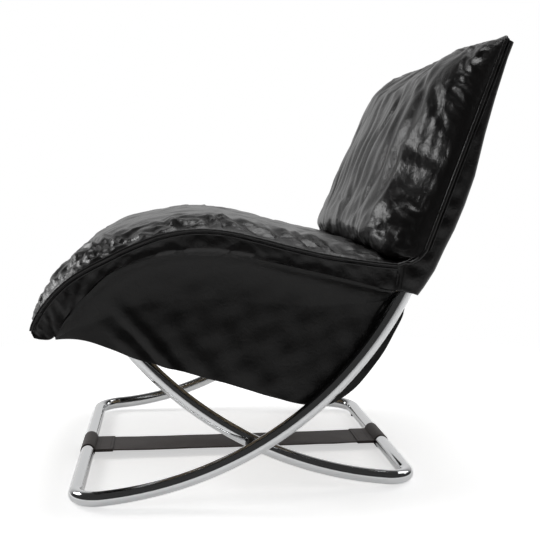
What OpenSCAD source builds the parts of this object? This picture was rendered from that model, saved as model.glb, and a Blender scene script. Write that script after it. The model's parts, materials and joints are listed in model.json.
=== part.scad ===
// Lounge chair on two crossed loops of chromed tube, in millimetres.
// +Z is up from the floor, X runs across the chair, the sitter faces -Y.
// The origin is on the floor, midway side to side and front to back.

/* [Tube frame] */
// Outside diameter of the tubes
tube_d = 25; // [22:0.5:27]
// Wall thickness of the tubes
tube_wall = 2; // [1.2:0.1:3]
// Distance between the front and the rear floor bar, centre to centre
floor_bars_apart = 574; // [555:1:590]
// Distance between the two arms of the outer loop, centre to centre
outer_loop_w = 652; // [640:1:690]
// Distance from each outer arm to the inner arm beside it, centre to centre
loop_step = 51; // [48:0.5:60]
// Radius of the tube bends at the corners of the loops
corner_r = 45; // [40:1:52]
// Radius that the arms of the front loop follow
front_arm_r = 609; // [600:1:620]
// Radius that the arms of the rear loop follow
rear_arm_r = 653; // [644:1:662]
// Front floor bar, measured back from the middle of the chair
front_bar_y = -325.3; // [-330:0.1:-316]
// Angle at which the front loop leaves the floor
front_rise = 4.2; // [3.5:0.1:5]
// Angle at which the rear loop leaves the floor
rear_rise = 6; // [5.4:0.1:6.6]
// Lean of the back from level
back_angle = 69.5; // [69:0.1:70.5]
// Angle on the rear arc where its arms turn straight
rear_arm_end = 52.5; // [52:0.1:53]
// Straight end of each rear arm below the seat bar
rear_straight = 44; // [42:1:46]
// Angle on the front arc where the seat rail is welded in
seat_rail_angle = 63.6; // [63.2:0.1:64]

/* [Rails and joints] */
// Diameter of the seat rail between the arms of the front loop
rail_d = 18; // [14:0.5:19]
// Length of the solid spigots inside the tube joints
spigot_l = 36; // [24:1:40]
// Diameter of the pivot bolt's shank
bolt_d = 8; // [6:0.5:9]
// Diameter of the bolt's domed head
bolt_head_d = 16; // [15:0.5:20]
// Height of the bolt's head
bolt_head_h = 5; // [4:0.5:6]
// Outside diameter of the bush in the inner tube
bush_d = 13; // [12.5:0.5:15]
// Length that each end of the bush stands out of the tube
bush_proud = 3; // [2:0.5:5]
// Outside diameter of the spacer between the loops
spacer_d = 22; // [18:0.5:23]
// Diameter of the threaded insert in the outer tube
insert_d = 13; // [12:0.5:15]

/* [Floor strap and glides] */
// Width of the strap that ties the floor bars
strap_w = 92; // [80:1:110]
// Thickness of the strap
strap_t = 2.4; // [1.8:0.1:3]
// Thickness of the leather sleeves round the bars
sleeve_t = 1.6; // [1.2:0.1:1.8]
// Length of the sewn tongue of each sleeve
tongue_l = 34; // [26:1:45]
// Height of the glides below the tubes
glide_h = 2.5; // [2.2:0.1:4]
// Diameter of the glides
glide_d = 16; // [12:0.5:18]
// Diameter of the pin that holds each glide in the tube
glide_pin_d = 6; // [5:0.5:8]

/* [Back] */
// Length of the back from the end of the arc to its top bar
back_len = 354; // [340:1:368]
// Depth behind the tubes' centres that the back's rear outline is shared from
back_depth = 35.4; // [34:0.2:40]
// Crown of the back pillow in front of the tubes
back_crown = 86; // [72:1:90]
// Depth of the loose folds in the back pillow
back_fold = 4; // [0:0.5:6]
// Width of each webbing band in the back
web_w = 48; // [40:1:50]
// Number of webbing bands in the back
web_count = 4; // [3:1:4]

/* [Seat] */
// Crown of the seat above its side piping
seat_crown = 30; // [22:1:34]
// Depth by which the sewn pinches draw the seat's edge in
pinch_depth = 7; // [0:0.5:9]
// Depth of the folds that fan down each side panel
panel_fold = 5; // [0:0.5:6]
// Diameter of the welt cord along the edges
welt_d = 6; // [5:0.5:7]
// Thickness of the leather bands and panels
skin_t = 2.3; // [1.8:0.1:2.5]
// Thickness of the canvas deck under the seat
deck_t = 3; // [2.4:0.1:3.2]
// Diameter of the sprung rod in the hem of each side panel
hem_rod_d = 5; // [4:0.5:6]

/* [Hidden] */

$fn = 64;
section_fn = 64;
arc_fn = 180;
seam_turn = 45;

// Clearances and small allowances
fit_gap = 0.4;
turn_gap = 0.05;
slip_gap = 0.1;
rail_gap = 0.3;
washer_gap = 0.3;
spigot_taper = 0.4;
cut_over = 1;

// Tube and bar centres
tube_r = tube_d / 2;
bar_z = glide_h + tube_r;
rear_bar_y = front_bar_y + floor_bars_apart;
outer_x = outer_loop_w / 2;
inner_x = outer_x - loop_step;

// Side view: centres of the two arcs, as [y, z]
front_c = [front_bar_y + corner_r * cos(front_rise) - front_arm_r * sin(front_rise),
    bar_z + corner_r * sin(front_rise) + front_arm_r * cos(front_rise)];
rear_c = [rear_bar_y - corner_r * cos(rear_rise) + rear_arm_r * sin(rear_rise),
    bar_z + corner_r * sin(rear_rise) + rear_arm_r * cos(rear_rise)];
function front_pt(a) = front_c + front_arm_r * [sin(a), -cos(a)];
function rear_pt(a) = rear_c + rear_arm_r * [-sin(a), -cos(a)];

// Side view: the crossing of the arcs, where the loops pivot
centres_apart = norm(rear_c - front_c);
centres_dir = (rear_c - front_c) / centres_apart;
chord_at = (front_arm_r ^ 2 - rear_arm_r ^ 2 + centres_apart ^ 2) / (2 * centres_apart);
chord_drop = sqrt(front_arm_r ^ 2 - chord_at ^ 2);
pivot = front_c + chord_at * centres_dir + chord_drop * [centres_dir[1], -centres_dir[0]];

// Side view: foot of the back, seat rail and seat front bar
back_foot = front_pt(back_angle);
rail = front_pt(seat_rail_angle);
rear_arm_top = rear_pt(rear_arm_end);
rear_dir = [-cos(rear_arm_end), sin(rear_arm_end)];
seat_bar = rear_arm_top + (rear_straight + corner_r) * rear_dir;

// Seat frame of reference: along the deck, from the seat bar to the rail
bar_over = tube_r + fit_gap + deck_t;
rail_over = rail_d / 2 + rail_gap + deck_t;
bar_to_rail = norm(rail - seat_bar);
deck_tilt = atan2(rail[1] - seat_bar[1], rail[0] - seat_bar[0])
    + asin((rail_over - bar_over) / bar_to_rail);
seat_len = bar_to_rail * cos(asin((rail_over - bar_over) / bar_to_rail));
deck_half = inner_x + tube_r + fit_gap;

// Widths of the upholstery
skin_out_x = outer_x + tube_r + slip_gap * 2 + skin_t;
skin_in_x = skin_out_x - skin_t;
foam_x = skin_in_x - slip_gap;
panel_low_x = outer_x - tube_r - fit_gap * 3;
welt_r = welt_d / 2;
welt_x = skin_out_x + welt_r;

// Seat side lines, in shares of the seat's length from the seat bar
seat_edge_shares = [[-0.161, -0.089], [-0.155, -0.066], [-0.139, -0.035],
    [-0.116, -0.001], [-0.081, 0.037], [-0.038, 0.072], [0.011, 0.100],
    [0.069, 0.128], [0.146, 0.163], [0.243, 0.196], [0.339, 0.208],
    [0.435, 0.200], [0.531, 0.176], [0.626, 0.149], [0.722, 0.124],
    [0.818, 0.105], [0.914, 0.090], [0.9745, 0.083]];
seat_seam_shares = [[-0.152, -0.106], [-0.131, -0.111], [-0.104, -0.111],
    [-0.085, -0.094], [-0.063, -0.054], [-0.033, -0.018], [0.010, 0.026],
    [0.068, 0.080], [0.146, 0.117], [0.242, 0.142], [0.338, 0.150],
    [0.434, 0.143], [0.530, 0.122], [0.625, 0.094], [0.721, 0.067],
    [0.817, 0.040], [0.922, 0.011], [0.9675, 0.004]];
nose_under_shares = [[-0.144, -0.103], [-0.119, -0.099], [-0.092, -0.090],
    [-0.065, -0.069], [-0.049, -0.033], [-0.039, 0.002], [-0.024, 0.031]];
panel_hem_shares = [[-0.093, -0.113], [-0.039, -0.120], [0.020, -0.138],
    [0.081, -0.164], [0.142, -0.190], [0.203, -0.212], [0.264, -0.231],
    [0.327, -0.251], [0.390, -0.271], [0.452, -0.292], [0.517, -0.314],
    [0.580, -0.336], [0.645, -0.356], [0.713, -0.367], [0.762, -0.362],
    [0.806, -0.340], [0.841, -0.314], [0.873, -0.280], [0.906, -0.240],
    [0.939, -0.194], [0.968, -0.141], [0.992, -0.092], [1.005, -0.050]];
// Crown of the seat at each of its stations, as a share of seat_crown
seat_crown_shares = [0.10, 0.34, 0.56, 0.76, 0.92, 1.08, 1.25, 1.36, 1.22, 1.02,
    0.96, 0.98, 1.00, 1.00, 0.98, 0.88, 0.60, 0.34];
// Stations of the sewn pinches along the seat's edge
pinch_at = [7.33, 9.54];
pinch_wide = 0.5;

// Back outline behind the welt, as shares of the back's length and depth
back_rear_shares = [[-0.190, -0.50], [-0.142, -0.64], [-0.056, -0.83],
    [0.054, -0.91], [0.153, -1.02], [0.273, -1.06], [0.415, -1.02],
    [0.612, -0.76], [0.800, -0.58], [0.968, -0.455], [1.043, -0.455]];
// Back outline along the welt, as shares of the back's length
back_seam_shares = [[0.016, 0], [-0.026, 0.016], [-0.060, 0.047],
    [-0.070, 0.0736], [-0.127, 0.0598], [-0.200, 0.0431]];
back_top_s = back_len + tube_r + slip_gap * 2 + skin_t;
// Back pillow: distance up the back and crown, each as a share; distances past 1
// are shares of the cap over the top bar
pillow_shares = [[-0.042, 0.58], [-0.030, 0.82], [0.00, 0.93], [0.05, 0.97],
    [0.12, 1.00], [0.22, 1.00], [0.34, 1.00], [0.46, 0.99], [0.58, 0.96],
    [0.69, 0.92], [0.79, 0.85], [0.88, 0.74], [0.95, 0.60], [0.995, 0.46],
    [1.60, 0.32], [1.86, 0.24], [2.00, 0.16]];

function last(v) = v[len(v) - 1];
function mix(a, b, t) = a + (b - a) * t;
function clamp(v, low, high) = min(max(v, low), high);

// Smooth curve through a list of points; t runs from 0 to 1
function along(p, t) =
    let(n = len(p) - 1, s = clamp(t, 0, 1) * n, i = min(floor(s), n - 1), f = s - i,
        a = p[max(i - 1, 0)], b = p[i], c = p[i + 1], d = p[min(i + 2, n)])
    b + 0.5 * f * ((c - a) + f * ((2 * a - 5 * b + 4 * c - d) + f * (3 * (b - c) + d - a)));

// Faces of a closed skin over rings that each have n points
function skin_faces(rings, n) = concat(
    [for (i = [0:rings - 2]) for (j = [0:n - 1])
        let(a = i * n + j, b = i * n + (j + 1) % n) [a, a + n, b + n]],
    [for (i = [0:rings - 2]) for (j = [0:n - 1])
        let(a = i * n + j, b = i * n + (j + 1) % n) [a, b + n, b]],
    [for (j = [1:n - 2]) [0, j, j + 1]],
    [for (j = [1:n - 2]) [(rings - 1) * n, (rings - 1) * n + j + 1, (rings - 1) * n + j]]);

module ring_skin(rings) {
    n = len(rings[0]);
    polyhedron(points = [for (r = rings) each r], faces = skin_faces(len(rings), n),
        convexity = 6);
}

// Round rod swept along points that lie in planes of constant X
sweep_sides = 8;
module swept_rod(path, r) {
    m = len(path);
    ring_skin([for (i = [0:m - 1])
        let(t = path[min(i + 1, m - 1)] - path[max(i - 1, 0)],
            u = t / norm(t), side = cross(u, [1, 0, 0]), w = side / norm(side),
            v = cross(w, u))
        [for (j = [0:sweep_sides - 1])
            path[i] + r * (cos(j * 360 / sweep_sides) * w + sin(j * 360 / sweep_sides) * v)]]);
}

// Frames of reference
module on_back() {
    translate([0, back_foot[0], back_foot[1]]) rotate([back_angle, 0, 0]) children();
}
module on_seat() {
    translate([0, seat_bar[0], seat_bar[1]]) rotate([deck_tilt, 0, 0]) children();
}
module both_sides() {
    children();
    mirror([1, 0, 0]) children();
}
module along_x(at, y, z) {
    translate([at, y, z]) rotate([0, 90, 0]) children();
}

// Tube profile: solid = true gives the outer form only
module tube_section(solid, grow = 0) {
    rotate(seam_turn) difference() {
        circle(r = tube_r + grow, $fn = section_fn);
        if (!solid) circle(r = tube_r - tube_wall, $fn = section_fn);
    }
}
module tube_run(l, solid = false, grow = 0) {
    linear_extrude(height = l) tube_section(solid, grow);
}
module tube_bend(r, a, solid = false, grow = 0) {
    rotate_extrude(angle = a) translate([r, 0]) tube_section(solid, grow);
}
// Frame of one corner of a loop: the bar ends at its origin, the arm leaves along +Y
module at_corners(y, x, rise) {
    both_sides() translate([x - corner_r, y, bar_z]) rotate([rise, 0, 0]) children();
}
// Floor bar with its two corners
module floor_bar(y, x, rise) {
    at_corners(y, x, rise) {
        translate([corner_r - x, 0, 0]) rotate([0, 90, 0]) tube_run(x - corner_r);
        translate([0, corner_r, 0]) rotate([0, 0, -90]) tube_bend(corner_r, 90);
    }
}
// Arms that climb from the corners on an arc of radius r through the angle a
module arms(y, x, rise, r, a, solid = false) {
    at_corners(y, x, rise) translate([corner_r, corner_r, r]) rotate([0, 90, 0])
        rotate_extrude(angle = a, $fn = arc_fn) translate([r, 0]) tube_section(solid);
}
// Glide pins go up into the bar at these places
module at_glides(x, y) {
    both_sides() translate([x - corner_r - glide_d, y, 0]) children();
}

// The pivots, at x on each side
module at_pivot(x) {
    both_sides() along_x(x, pivot[0], pivot[1]) children();
}

// Outer loop

module front_arms(solid = false) {
    arms(front_bar_y, outer_x, front_rise, front_arm_r, back_angle - front_rise, solid);
}
module front_frame_tube() {
    color("silver") difference() {
        union() {
            floor_bar(front_bar_y, outer_x, front_rise);
            front_arms();
        }
        at_glides(outer_x, front_bar_y) cylinder(d = glide_pin_d, h = bar_z);
        at_pivot(outer_x - tube_d) cylinder(d = insert_d, h = tube_d);
    }
}
module back_frame_tube() {
    color("silver") on_back() {
        both_sides() translate([outer_x, 0, 0]) rotate([-90, 0, 0])
            tube_run(back_len - corner_r);
        both_sides() translate([outer_x - corner_r, back_len - corner_r, 0])
            tube_bend(corner_r, 90);
        along_x(corner_r - outer_x, back_len, 0) tube_run(2 * (outer_x - corner_r));
    }
}
// Solid spigot across a joint, tapered where it enters the curved arm
module spigot() {
    rotate([-90, 0, 0]) {
        cylinder(r = tube_r - tube_wall, h = spigot_l / 2);
        translate([0, 0, -spigot_l / 2])
            cylinder(r1 = tube_r - tube_wall - spigot_taper, r2 = tube_r - tube_wall,
                h = spigot_l / 2);
    }
}
module front_spigots() {
    color("dimgray") on_back() both_sides() translate([outer_x, 0, 0]) spigot();
}
module seat_rail() {
    color("silver") difference() {
        along_x(-outer_x, rail[0], rail[1]) cylinder(d = rail_d, h = 2 * outer_x);
        front_arms(solid = true);
    }
}

// Pivots at the crossing

bush_out_x = inner_x + tube_r + bush_proud;
bush_in_x = inner_x - tube_r - bush_proud;
bore_r = tube_r - tube_wall;
insert_end_x = outer_x + sqrt(bore_r ^ 2 - (insert_d / 2) ^ 2) - slip_gap;
bolt_tip_x = insert_end_x - tube_wall;
module pivot_inserts() {
    color("gray") difference() {
        at_pivot(outer_x - tube_r) cylinder(d = insert_d, h = insert_end_x - outer_x + tube_r);
        at_pivot(0) cylinder(d = bolt_d, h = bolt_tip_x);
    }
}
module pivot_spacers() {
    color("black") difference() {
        at_pivot(bush_out_x + washer_gap)
            cylinder(d = spacer_d, h = outer_x - bush_out_x - washer_gap);
        at_pivot(0) cylinder(d = bolt_d, h = outer_x);
        at_pivot(outer_x - tube_r) cylinder(d = insert_d, h = tube_d);
        front_arms(solid = true);
    }
}
module pivot_bolts() {
    head_x = bush_in_x - washer_gap;
    dome_r = (bolt_head_d ^ 2 / 4 + bolt_head_h ^ 2) / (2 * bolt_head_h);
    color("silver") at_pivot(head_x) {
        cylinder(d = bolt_d, h = bolt_tip_x - head_x);
        rotate([180, 0, 0]) intersection() {
            cylinder(d = bolt_head_d, h = bolt_head_h);
            translate([0, 0, bolt_head_h - dome_r]) sphere(r = dome_r);
        }
    }
}
module pivot_bushes() {
    color("ivory") at_pivot(bush_in_x) difference() {
        cylinder(d = bush_d, h = bush_out_x - bush_in_x);
        translate([0, 0, -cut_over])
            cylinder(r = bolt_d / 2 + turn_gap, h = bush_out_x - bush_in_x + 2 * cut_over);
    }
}

// Inner loop

module rear_frame_tube() {
    color("silver") difference() {
        mirror([0, 1, 0]) {
            floor_bar(-rear_bar_y, inner_x, rear_rise);
            arms(-rear_bar_y, inner_x, rear_rise, rear_arm_r, rear_arm_end - rear_rise);
        }
        at_glides(inner_x, rear_bar_y) cylinder(d = glide_pin_d, h = bar_z);
        at_pivot(inner_x - tube_d) cylinder(d = bush_d, h = 2 * tube_d);
    }
}
module on_rear_arms() {
    mirror([0, 1, 0]) translate([0, -rear_arm_top[0], rear_arm_top[1]])
        rotate([rear_arm_end, 0, 0]) children();
}
module seat_front_bar() {
    color("silver") on_rear_arms() {
        both_sides() translate([inner_x, 0, 0]) rotate([-90, 0, 0]) tube_run(rear_straight);
        both_sides() translate([inner_x - corner_r, rear_straight, 0])
            tube_bend(corner_r, 90);
        along_x(corner_r - inner_x, rear_straight + corner_r, 0)
            tube_run(2 * (inner_x - corner_r));
    }
}
module rear_spigots() {
    color("dimgray") on_rear_arms() both_sides() translate([inner_x, 0, 0]) spigot();
}

// Floor strap and glides

module glides(x, y) {
    color("black") at_glides(x, y) {
        difference() {
            cylinder(d = glide_d, h = glide_h * 2);
            along_x(-glide_d, 0, bar_z) cylinder(r = tube_r, h = 2 * glide_d);
        }
        cylinder(d = glide_pin_d, h = glide_h + tube_wall * 3);
    }
}
module front_glides() {
    glides(outer_x, front_bar_y);
}
module rear_glides() {
    glides(inner_x, rear_bar_y);
}
// Sleeve round a floor bar, with a sewn tongue that holds the strap's end
module strap_sleeve() {
    tongue_end = tube_r + sleeve_t + tongue_l;
    color("dimgray") difference() {
        union() {
            along_x(-strap_w / 2, 0, bar_z) cylinder(r = tube_r + sleeve_t, h = strap_w);
            translate([-strap_w / 2, 0, bar_z - strap_t / 2 - sleeve_t])
                cube([strap_w, tongue_end, strap_t + 2 * sleeve_t]);
        }
        along_x(-strap_w, 0, bar_z) cylinder(r = tube_r, h = 2 * strap_w);
        translate([-strap_w, tube_r + sleeve_t, bar_z - strap_t / 2])
            cube([2 * strap_w, tongue_end, strap_t]);
    }
}
module front_strap_sleeve() {
    translate([0, front_bar_y, 0]) strap_sleeve();
}
module rear_strap_sleeve() {
    translate([0, rear_bar_y, 0]) mirror([0, 1, 0]) strap_sleeve();
}
module base_strap() {
    strap_l = floor_bars_apart - tube_d - 2 * sleeve_t;
    color("dimgray")
        translate([-strap_w / 2, front_bar_y + tube_r + sleeve_t, bar_z - strap_t / 2])
            cube([strap_w, strap_l, strap_t]);
}

// Back upholstery

web_first_s = 22;
web_span_share = 0.66;
module back_webbing() {
    web_pitch = (back_len * web_span_share - web_first_s) / web_count;
    color("tan") on_back() for (i = [0:web_count - 1])
        translate([-outer_x, web_first_s + i * web_pitch, -tube_r - deck_t])
            cube([2 * outer_x, web_w, deck_t]);
}

back_rear = [for (p = back_rear_shares) [p[0] * back_len, p[1] * back_depth]];
back_seam = back_seam_shares * back_len;

// Fullness of the pillow's sides, more near its foot and its top
pillow_cols = 13;
full_mid = 3.2;
full_foot = 4.5;
full_top = 2;
round_share = 0.55;
function pillow_s(k) = k <= 1 ? k * back_len
    : mix(back_len, back_top_s - slip_gap, k - 1);
function pillow_full(k) = full_mid + full_foot * max(1 - k * 2, 0) ^ 2
    + full_top * max(k * 2 - 1, 0);
function pillow_swell(u, k) = (1 - abs(u) ^ pillow_full(clamp(k, 0, 1))) ^ round_share;
// Loose folds run up the pillow and fade out at its edges
fold_waves = [[1260, 220, 1], [2100, -300, 0.6]];
function fold_sum(u, k, i = 0) = i == len(fold_waves) ? 0
    : fold_waves[i][2] * sin(fold_waves[i][0] * u + fold_waves[i][1] * k)
        + fold_sum(u, k, i + 1);
function fold_fade(u, k) = clamp((1 - abs(u)) * 3, 0, 1) * clamp(1.1 - k, 0, 1)
    * clamp(k * 6 + 0.3, 0, 1);
// Ring round the pillow, from the middle of its crown: down one side to the seam,
// along the flat rear and up the other side
function pillow_crown(p, s, seam, i) = let(u = cos(90 * i / pillow_cols))
    [skin_out_x * u, s, seam + (p[1] * back_crown - seam) * pillow_swell(u, p[0])
        + back_fold * fold_fade(u, p[0]) * fold_sum(u, p[0])];
function pillow_ring(p) =
    let(s = pillow_s(p[0]), seam = lookup(p[0], back_seam_shares) * back_len + slip_gap,
        rear = s < back_len - tube_d ? -tube_r + slip_gap : slip_gap,
        side = foam_x - tube_d - slip_gap,
        low = [[side - tube_r, rear], [side, min(0, rear / 2)], [outer_x, seam]])
    concat([for (i = [pillow_cols:2 * pillow_cols]) pillow_crown(p, s, seam, i)],
        [for (i = [len(low) - 1:-1:0]) [-low[i][0], s, low[i][1]]],
        [[0, s, rear]], [for (q = low) [q[0], s, q[1]]],
        [for (i = [0:pillow_cols - 1]) pillow_crown(p, s, seam, i)]);
module back_pillow() {
    color("#2b2a29") on_back() difference() {
        ring_skin([for (p = pillow_shares) pillow_ring(p)]);
        both_sides() translate([outer_x, -tube_d, 0]) rotate([-90, 0, 0])
            tube_run(back_len - corner_r + tube_d, solid = true, grow = slip_gap);
        both_sides() translate([outer_x - corner_r, back_len - corner_r, 0])
            tube_bend(corner_r, 90, solid = true, grow = slip_gap);
        along_x(corner_r - outer_x, back_len, 0)
            tube_run(2 * (outer_x - corner_r), solid = true, grow = slip_gap);
    }
}
module back_side_band() {
    color("#262524") on_back() {
        both_sides() translate([skin_in_x, 0, 0]) rotate([90, 0, 90])
            linear_extrude(height = skin_t)
                polygon(concat(back_rear, [[back_top_s, 0]], back_seam));
        translate([-skin_in_x, back_top_s - skin_t, last(back_rear)[1]])
            cube([2 * skin_in_x, skin_t, -last(back_rear)[1]]);
    }
}
module back_rear_cover() {
    inside = [for (i = [len(back_rear) - 1:-1:0]) back_rear[i] + [0, skin_t]];
    keep = [for (p = concat(back_rear, inside)) [min(p[0], back_top_s - skin_t), p[1]]];
    color("#262524") on_back() translate([-skin_in_x, 0, 0]) rotate([90, 0, 90])
        linear_extrude(height = 2 * skin_in_x) polygon(keep);
}
// Welt up one side of the back, over the top and down the other side
module back_welt() {
    top = back_top_s + welt_r;
    side = concat([for (i = [3:-1:0]) [welt_x, back_seam[i][0], back_seam[i][1]]],
        [for (i = [1:5]) [welt_x, mix(back_seam[0][0], top - welt_d, i / 5), 0]],
        [[welt_x, top, 0]]);
    over = [for (i = [0:4]) [mix(welt_x - welt_d, welt_d - welt_x, i / 4), top, 0]];
    path = concat(side, over, [for (i = [len(side) - 1:-1:0])
        [-side[i][0], side[i][1], side[i][2]]]);
    color("#1d1c1b") on_back() swept_welt(path);
}
module swept_welt(path) {
    m = len(path);
    ring_skin([for (i = [0:m - 1])
        let(t = path[min(i + 1, m - 1)] - path[max(i - 1, 0)], u = t / norm(t),
            w = [0, 0, 1] - u * (u * [0, 0, 1]), z = w / norm(w), v = cross(z, u))
        [for (j = [0:sweep_sides - 1])
            path[i] + welt_r * (cos(j * 360 / sweep_sides) * v
                + sin(j * 360 / sweep_sides) * z)]]);
}

// Seat upholstery

function seat_edge(t) = along(seat_edge_shares, t) * seat_len;
function seat_seam(t) = along(seat_seam_shares, t) * seat_len;
seat_stations = len(seat_edge_shares) - 1;
deck_top = bar_over + slip_gap;
module seat_deck() {
    color("tan") on_seat() {
        translate([-deck_half, 0, bar_over - deck_t]) cube([2 * deck_half, seat_len, deck_t]);
        along_x(-deck_half, seat_len, bar_over - rail_over) difference() {
            cylinder(r = rail_over, h = 2 * deck_half);
            translate([0, 0, -cut_over])
                cylinder(r = rail_over - deck_t, h = 2 * (deck_half + cut_over));
        }
        // Lip round the front of the seat bar
        intersection() {
            along_x(corner_r - inner_x, 0, 0) difference() {
                cylinder(r = bar_over, h = 2 * (inner_x - corner_r));
                translate([0, 0, -cut_over])
                    cylinder(r = bar_over - deck_t, h = 2 * (inner_x + cut_over));
            }
            translate([-inner_x, -tube_d, 0]) cube([2 * inner_x, tube_d, tube_d]);
        }
    }
}
// Rings of the cushion across the chair, one at each station
seat_rows = 34;
seat_cols = 11;
foam_least = 1;
under_mid_share = 0.4;
crown_full = 3;
crown_round = 0.6;
function pinch(s) = max([for (p = pinch_at) exp(-((s - p) / pinch_wide) ^ 2)]);
function under_pt(t) =
    let(s = t * seat_stations, n = len(nose_under_shares))
    s < n - 1 ? along(nose_under_shares, s / (n - 1)) * seat_len
        : [max(seat_edge(t)[0], last(nose_under_shares)[0] * seat_len), deck_top];
function seat_ring(t) =
    let(e = seat_edge(t), q = under_pt(t), m = seat_seam(t),
        g = along(seat_edge_shares, t + 0.02) - along(seat_edge_shares, t - 0.02),
        nrm = [-g[1], g[0]] / norm(g), p = pinch(t * seat_stations) * pinch_depth,
        c = (along([for (v = seat_crown_shares) [v, 0]], t)[0]) * seat_crown,
        lo = t * seat_stations < len(nose_under_shares) - 1 ? m
            : [m[0], max(m[1], q[1] + foam_least)],
        mid = mix(q, lo, under_mid_share), half = deck_half,
        right = concat([[0, q[0], q[1]], [half, q[0], q[1]], [half, mid[0], mid[1]],
            [foam_x, lo[0], lo[1]],
            [foam_x, e[0] + nrm[0] * slip_gap, e[1] + nrm[1] * slip_gap]],
            [for (i = [0:seat_cols]) let(a = 90 * i / seat_cols, u = cos(a),
                h = slip_gap + c * (1 - u ^ crown_full) ^ crown_round)
                [(skin_out_x - p * u ^ 2) * u, e[0] + nrm[0] * h, e[1] + nrm[1] * h]]),
        n = len(right))
    concat(right, [for (i = [n - 2:-1:1]) [-right[i][0], right[i][1], right[i][2]]]);
module seat_cushion() {
    color("#2b2a29") on_seat() ring_skin([for (i = [0:seat_rows]) seat_ring(i / seat_rows)]);
}
// The band's two lines have the cushion's stations, so that they meet
module seat_band() {
    outline = concat([for (i = [1:seat_rows]) seat_edge(i / seat_rows)],
        [for (i = [seat_rows:-1:1]) seat_seam(i / seat_rows)]);
    color("#262524") on_seat() translate([skin_in_x, 0, 0]) rotate([90, 0, 90])
        linear_extrude(height = skin_t) polygon(outline);
}
module seat_band_right() {
    seat_band();
}
module seat_band_left() {
    mirror([1, 0, 0]) seat_band();
}
welt_steps = 26;
module seat_welt() {
    color("#1d1c1b") on_seat() swept_rod([for (i = [0:welt_steps])
        let(e = seat_edge(mix(0.02, 0.985, i / welt_steps))) [welt_x, e[0], e[1]]], welt_r);
}
module seat_welt_right() {
    seat_welt();
}
module seat_welt_left() {
    mirror([1, 0, 0]) seat_welt();
}

// Side panel: hangs from the seam to a taut hem, with folds that fan down it
panel_cols = 36;
panel_rows = 9;
seam_from = 2.6;
panel_draw = 25;
// The panel hangs this far inside the line that its highest fold reaches
fold_rise = 1.2;
panel_dip = panel_fold * fold_rise;
// Each fold: share along the panel, share where it starts, height and width
fold_table = [[0.20, 0.25, 0.8, 0.030], [0.27, 0.10, 1.2, 0.022],
    [0.36, 0.35, 0.6, 0.030], [0.48, 0.45, 0.5, 0.035], [0.62, 0.50, 0.4, 0.040]];
function seat_to_side(p) = [seat_bar[0] + p[0] * cos(deck_tilt) - p[1] * sin(deck_tilt),
    seat_bar[1] + p[0] * sin(deck_tilt) + p[1] * cos(deck_tilt)];
function off_tube(p) = abs(norm(seat_to_side(p) - front_c) - front_arm_r) - tube_r;
function panel_folds(u, w) = panel_fold * max([for (f = fold_table)
    f[2] * exp(-((u - f[0]) / f[3]) ^ 2) * clamp((w - f[1]) * 2.5, 0, 1)]);
// Lower line of the band between its stations
function band_low(t) = let(s = t * seat_rows, i = min(floor(s), seat_rows - 1))
    mix(seat_seam(i / seat_rows), seat_seam((i + 1) / seat_rows), s - i);
function panel_pt(u, w, inner) =
    let(seam = band_low(mix(seam_from / seat_stations, 1, u)),
        low = along(panel_hem_shares, u) * seat_len,
        top = seam + slip_gap * (low - seam) / norm(low - seam), p = mix(top, low, w),
        d = norm(p - top), near = clamp((off_tube(p) - cut_over) / tube_wall / 3, 0, 1),
        x = panel_low_x + (skin_out_x - panel_low_x) * exp(-d / panel_draw) * near
            - (panel_dip - panel_folds(u, w)) * clamp(w * 3, 0, 1))
    [x - (inner ? skin_t : 0), p[0], p[1]];
module side_panel() {
    color("#1f1e1d") on_seat() ring_skin([for (i = [0:panel_cols]) let(u = i / panel_cols)
        concat([for (j = [0:panel_rows]) panel_pt(u, j / panel_rows, false)],
            [for (j = [panel_rows:-1:0]) panel_pt(u, j / panel_rows, true)])]);
}
module side_panel_right() {
    side_panel();
}
module side_panel_left() {
    mirror([1, 0, 0]) side_panel();
}
rod_steps = 22;
module hem_rod() {
    r = hem_rod_d / 2;
    x = panel_low_x - panel_dip - skin_t - r - slip_gap;
    color("gray") on_seat() swept_rod([for (i = [0:rod_steps])
        let(p = panel_pt(mix(0.02, 0.98, i / rod_steps), 0.95, true)) [x, p[1], p[2]]], r);
}
module hem_rod_right() {
    hem_rod();
}
module hem_rod_left() {
    mirror([1, 0, 0]) hem_rod();
}

front_frame_tube();
back_frame_tube();
front_spigots();
seat_rail();
pivot_inserts();
pivot_spacers();
pivot_bolts();
front_glides();
front_strap_sleeve();
base_strap();
back_webbing();
back_pillow();
back_side_band();
back_rear_cover();
back_welt();
rear_frame_tube();
seat_front_bar();
rear_spigots();
pivot_bushes();
rear_glides();
rear_strap_sleeve();
seat_deck();
seat_cushion();
seat_band_left();
seat_band_right();
seat_welt_left();
seat_welt_right();
side_panel_left();
side_panel_right();
hem_rod_left();
hem_rod_right();
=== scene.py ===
"""Lounge chair in black leather on two crossed loops of chromed tube.

Metres, in the CAD model's own frame. The sitter faces -Y and +Z is up.
"""
import json
import math

import bpy
import numpy as np
from mathutils import Euler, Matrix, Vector, kdtree


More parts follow.
